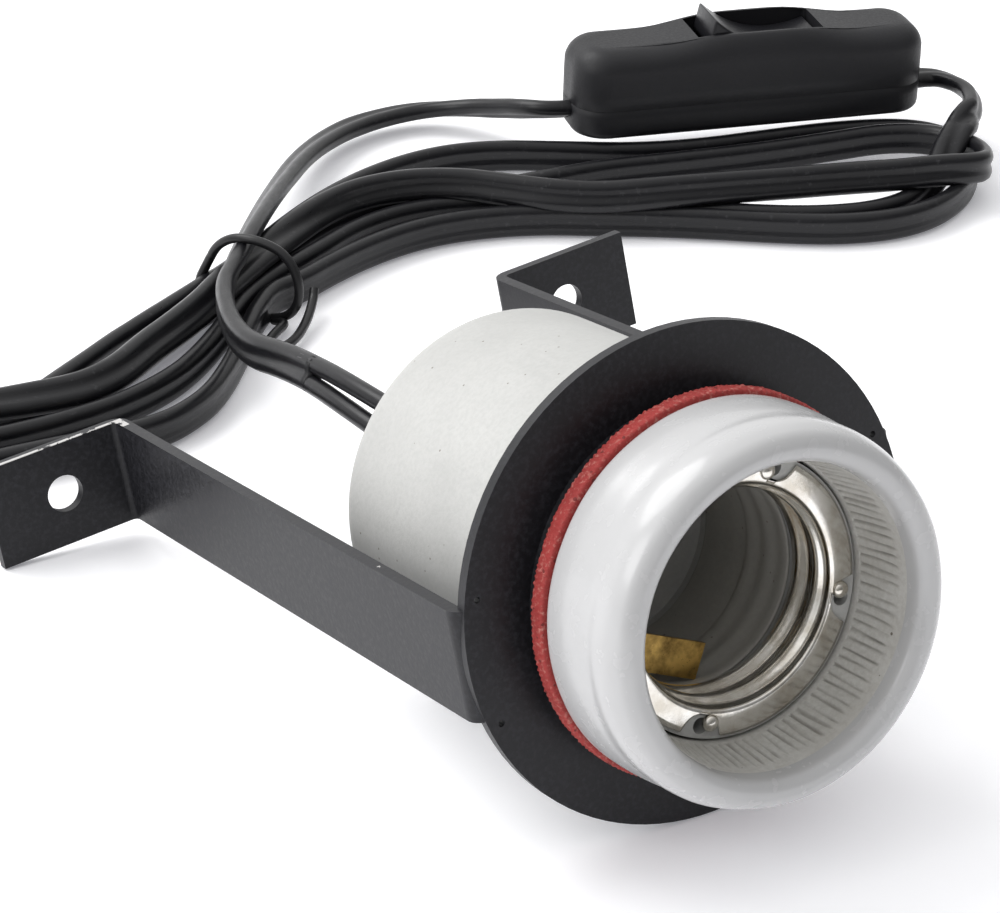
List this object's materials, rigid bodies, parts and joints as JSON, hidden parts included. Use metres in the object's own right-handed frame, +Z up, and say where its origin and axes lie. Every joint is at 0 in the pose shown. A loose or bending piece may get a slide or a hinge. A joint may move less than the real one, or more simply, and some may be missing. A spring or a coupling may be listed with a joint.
{
  "type": "heat lamp fixture",
  "caption": "Porcelain screw-socket lamp fixture on a folded black steel bracket with two drilled feet, lying on its side, with a flat cord, in-line rocker switch and tied hank.",
  "frame": {"origin": "the ground point below the middle of the lying fixture's bounding box, cord and what is on it left out", "axes": "+Z up from the ground, -Y the way the socket's mouth points seen from above (it is pitched 10.8 degrees up), +X across the bracket from its left foot to its right foot"},
  "size_m": [0.2369, 0.2238, 0.0596],
  "materials": {
    "black_steel": "satin powder coat",
    "red_fibre": "woven",
    "glazed_porcelain": "glazed",
    "bisque_porcelain": "unglazed",
    "nickel": "plated",
    "brass": "plain",
    "copper": "stranded",
    "fibre_board": "matte",
    "black_plastic": "fine grain",
    "black_gloss": "polished",
    "white_plastic": "matte",
    "cord_jacket": "satin",
    "tie_plastic": "satin"
  },
  "bodies": {
    "root": {"mounting_bracket": "black_steel", "lamp_body": "bisque_porcelain", "screw_shell": "nickel", "shell_stakes": "nickel", "centre_contact": "brass", "side_contact": "brass", "contact_rivets": "brass", "terminal_plates": "brass", "terminal_screws": "nickel", "conductor_loops": "copper", "lead_conductors": "cord_jacket", "rear_cover": "fibre_board", "cover_screws": "nickel", "switch_base": "black_plastic", "switch_cover": "black_plastic", "switch_screws": "nickel", "rocker_pin": "nickel", "fixed_contacts": "brass", "lead_cord": "cord_jacket", "feed_cord": "cord_jacket", "plug_cord": "cord_jacket", "cord_hank": "cord_jacket", "twist_tie": "tie_plastic", "plug_strain_relief": "black_plastic", "plug_body": "black_plastic", "plug_blades": "nickel"},
    "gasket": {"clamp_gasket": "red_fibre"},
    "collar": {"retaining_ring": "glazed_porcelain"},
    "rocker": {"switch_rocker": "black_gloss", "rocker_spring": "nickel", "rocker_plunger": "white_plastic"},
    "seesaw": {"seesaw_contact": "brass"}
  },
  "joints": [
    {"name": "collar_travel", "type": "slide", "parent": "root", "child": "gasket", "axis": [0, -0.9822, 0.188], "range_m": [0, 0.006]},
    {"name": "collar_turn", "type": "hinge", "parent": "gasket", "child": "collar", "pos_m": [0, -0.03449, 0.02994], "axis": [0, -0.9822, 0.188], "range_deg": [0, 540]},
    {"name": "rocker_tilt", "type": "hinge", "parent": "root", "child": "rocker", "pos_m": [0.11766, 0.12299, 0.017], "axis": [0.2588, 0.9659, 0], "range_deg": [-24, 0]},
    {"name": "seesaw_tilt", "type": "hinge", "parent": "root", "child": "seesaw", "pos_m": [0.11766, 0.12299, 0.0095], "axis": [0.2588, 0.9659, 0], "range_deg": [0, 16]}
  ],
  "couplings": [
    {"joint": "collar_travel", "follows": "collar_turn", "m_per_rad": 0.00063662},
    {"joint": "seesaw_tilt", "follows": "rocker_tilt", "ratio": -0.66667}
  ]
}
